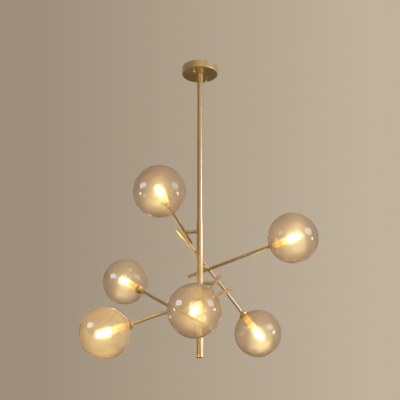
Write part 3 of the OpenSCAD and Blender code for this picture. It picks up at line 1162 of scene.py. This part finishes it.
@dataclass(frozen=True)
class Studio:
    """Backdrop, floor, lights and the photograph's camera."""

    # painted shade on the backdrop: darker on the left, lighter on the right
    backdrop_shaded_left: Colour = (0.335, 0.27, 0.195, 1.0)
    backdrop_lit_right: Colour = (0.53, 0.44, 0.335, 1.0)
    backdrop_turn: float = 0.2
    daylight: Colour = (0.90, 0.86, 0.80, 1.0)
    daylight_strength: float = 0.75
    floor_drop: float = 4.2
    floor_half: float = 9.0
    floor_deep: Colour = (0.47, 0.40, 0.30, 1.0)
    floor_light: Colour = (0.50, 0.43, 0.33, 1.0)
    mottle_scale: float = 3.0
    window: Softbox = Softbox("window_light", (2.0, -0.93, -0.03), (1.2, 0.9), 17.0, (0.70, 0.86, 1.35))
    lamp: Softbox = Softbox("small_lamp", (2.28, -0.28, -0.79), (0.20, 0.18), 6.0, (1.0, 0.97, 0.90))
    fill: Softbox = Softbox("front_fill", (-0.2, -3.2, 0.5), (2.6, 3.0), 6.0, (1.0, 0.86, 0.62))
    pane_size: Span = (1.1, 0.7)
    left_pane_power: float = 20.0
    right_pane_power: float = 10.0
    board_below: Flag = Flag("board_below", (0.0, 3.0, -1.75), (0.9, 3.6, 0.0), (0.085, 0.068, 0.048, 1.0))
    board_left: Flag = Flag("board_left", (-2.3, -0.4, -0.5), (0.0, 1.5, 1.6), (0.17, 0.14, 0.10, 1.0))
    camera_distance: float = 2.474
    camera_drop: float = 1.294
    camera_pitch_deg: float = 18.36
    focal_px: float = 809.0
    frame_px: float = 400.0
    sensor_mm: float = 36.0
    glassware: bpy.types.Collection = field(default_factory=lambda: bpy.data.collections.new("glassware"))

    def build_world(self) -> None:
        """Makes a backdrop that the camera, metal and glass see, with painted shade darker to the left,
        and soft light from all round.
        """
        scene = bpy.context.scene
        scene.world = bpy.data.worlds.new("studio_world")
        scene.world.use_nodes = True
        sketch = Sketch(scene.world.node_tree)
        path = sketch.add("ShaderNodeLightPath").outputs
        seen = sketch.math("MAXIMUM", path["Is Camera Ray"], path["Is Transmission Ray"])
        seen = sketch.math("MAXIMUM", seen, path["Is Glossy Ray"])
        # painted shade across the backdrop, darker to the left
        way = sketch.add("ShaderNodeTexCoord").outputs["Generated"]
        across = sketch.add("ShaderNodeSeparateXYZ", {0: way}).outputs[0]
        side = sketch.ramp(across, -self.backdrop_turn, self.backdrop_turn)
        paint = sketch.blend(side, self.backdrop_shaded_left, self.backdrop_lit_right)
        shown = sketch.add("ShaderNodeBackground", {"Color": paint, "Strength": 1.0}).outputs[0]
        daylight = {"Color": self.daylight, "Strength": self.daylight_strength}
        light = sketch.add("ShaderNodeBackground", daylight).outputs[0]
        both = sketch.add("ShaderNodeMixShader", {0: seen, 1: light, 2: shown}).outputs[0]
        sketch.surface(both, "ShaderNodeOutputWorld")

    def lay_floor(self) -> None:
        """Lays a plain pale floor far below the chandelier."""
        mesh = bpy.data.meshes.new("floor")
        half = self.floor_half
        corners = [(-half, -half), (half, -half), (half, half), (-half, half)]
        mesh.from_pydata([(x, y, -self.floor_drop) for x, y in corners], [], [(0, 1, 2, 3)])
        floor = bpy.data.objects.new("floor", mesh)
        bpy.context.scene.collection.objects.link(floor)
        material, sketch = new_material("floor_paint")
        mottle = sketch.noise(sketch.place(), self.mottle_scale, detail=4.0)
        shade = sketch.blend(mottle, self.floor_deep, self.floor_light)
        shader = sketch.add("ShaderNodeBsdfPrincipled", {"Base Color": shade, "Roughness": 0.8})
        sketch.surface(shader.outputs[0])
        mesh.materials.append(material)

    def hang_lights(self) -> None:
        """Hangs the window light, the lamps that light the globes only, the small lamp and the fill."""
        self.window.hang()
        sides = (("left", -1.0, self.left_pane_power), ("right", 1.0, self.right_pane_power))
        for name, side, power in sides:
            pane = self.window.across(f"glass_{name}", side, self.pane_size, power).hang()
            spark = self.lamp.across(f"spark_{name}", side, self.lamp.size, self.lamp.power).hang()
            for stand in (pane, spark):
                stand.light_linking.receiver_collection = self.glassware
        self.lamp.hang()
        self.fill.hang()
        self.board_below.hang()
        self.board_left.hang()

    def set_camera(self) -> None:
        """Sets the photograph's camera, level across and tilted up from below."""
        lens = bpy.data.cameras.new("photo_camera")
        lens.sensor_width = self.sensor_mm
        lens.lens = self.sensor_mm * self.focal_px / self.frame_px
        camera = bpy.data.objects.new("photo_camera", lens)
        camera.location = (0.0, -self.camera_distance, -self.camera_drop)
        camera.rotation_euler = (math.radians(90.0 + self.camera_pitch_deg), 0.0, 0.0)
        bpy.context.scene.collection.objects.link(camera)
        bpy.context.scene.camera = camera

    def build(self) -> None:
        """Builds the whole studio."""
        self.build_world()
        self.lay_floor()
        self.hang_lights()
        self.set_camera()
        bpy.context.scene.view_settings.view_transform = "Standard"


# by arm number, the share of light that the globe's lustre catches and the bulb's strength
LUSTRE = {1: 0.0005, 2: 0.001, 3: 0.001, 4: 0.001, 5: 0.015, 6: 0.001}
STRENGTH = {1: 280.0, 2: 460.0, 3: 360.0, 4: 370.0, 5: 250.0, 6: 680.0}


def main() -> None:
    """Builds the studio and dresses every sub-assembly in order."""
    logging.basicConfig(level=logging.INFO, format="%(name)s: %(message)s")
    studio = Studio()
    studio.build()
    CeilingEnd().dress()
    Stem().dress()
    polished = PolishedBrass("ring_brass").build()
    for number in range(1, ARM_COUNT + 1):
        arm = Arm(number)
        arm.dress()
        socket = Socket(arm)
        # both finishes carry a painted glow in place of the bulb's light; the silicone one also goes on
        # the bulb's base
        ceramic, silicone = socket.ceramic(), socket.silicone()
        socket.dress(polished, ceramic)
        made = [socket.cut_thread(ceramic), socket.turn_collar(silicone), socket.knurl_ring(silicone)]
        globe = Globe(arm, LUSTRE[number]).blow()
        studio.glassware.objects.link(globe)
        made += [globe, *Capsule(arm, STRENGTH[number]).make(silicone)]
        LOG.info("made %s", ", ".join(piece.name for piece in made))


if __name__ == "__main__":
    main()
